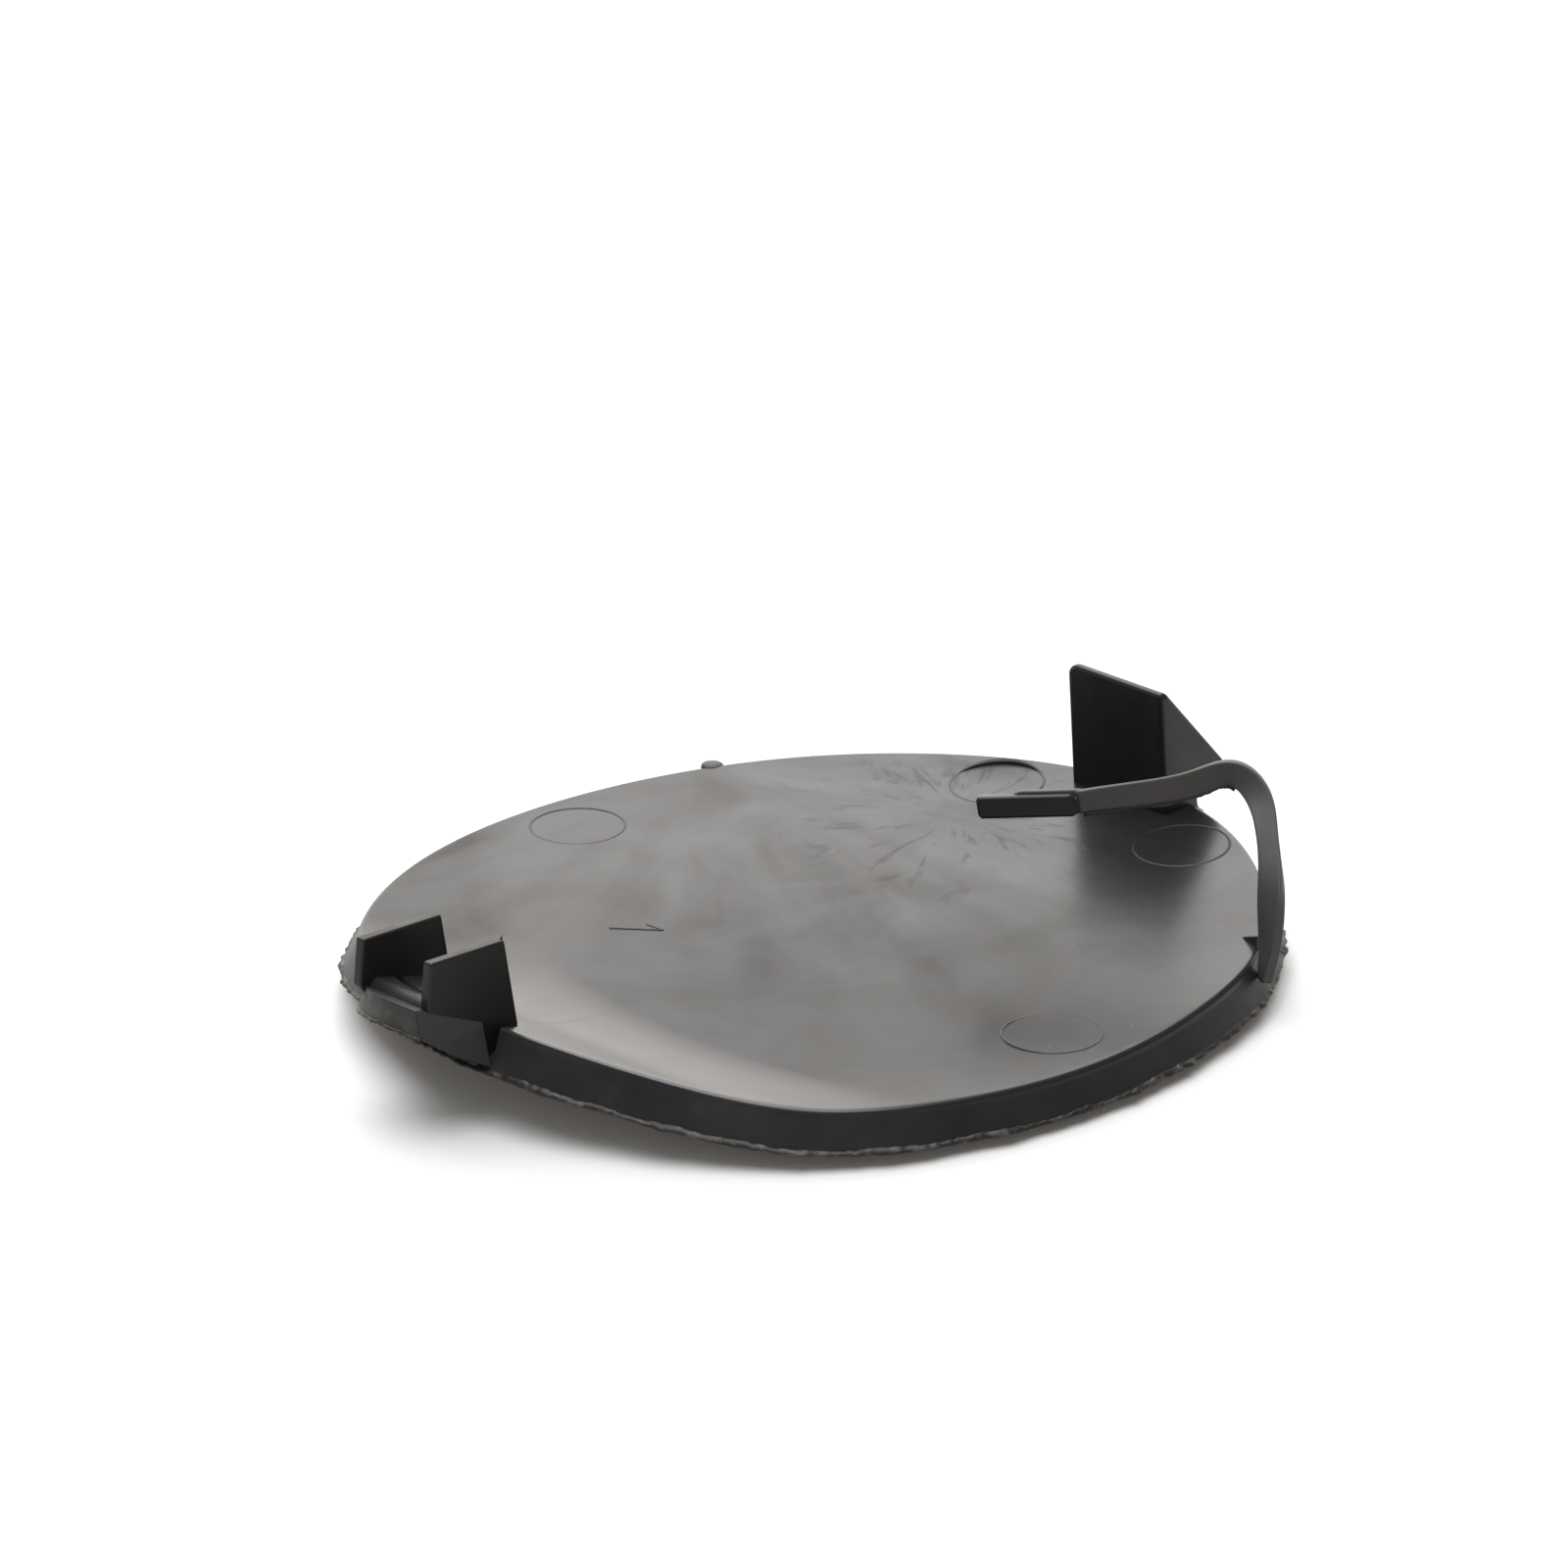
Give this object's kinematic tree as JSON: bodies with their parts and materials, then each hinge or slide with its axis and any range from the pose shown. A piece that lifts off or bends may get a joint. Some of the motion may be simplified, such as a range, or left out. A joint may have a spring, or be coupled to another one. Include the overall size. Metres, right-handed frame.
{
  "type": "bumper tow hook cover",
  "caption": "Rounded black plastic bumper cover for a towing eye opening, rear face up, with a barbed snap hook, locating fins and a tether strap.",
  "frame": {"origin": "middle of the bounding box at the height of the bench the cover lies on, painted face down", "axes": "+Z out of the rear face, from the bench up to the top of the hook and strap; +X to the side where the strap stands; +Y to the far side as seen in the picture; the part axis from the fins to the hook runs 43.5 degrees from +X towards +Y"},
  "size_m": [0.0968, 0.0992, 0.0233],
  "materials": {
    "black_plastic": "moulded black polypropylene with a satin sheen"
  },
  "bodies": {
    "root": {"tow_hook_cover": "black_plastic"}
  },
  "joints": []
}
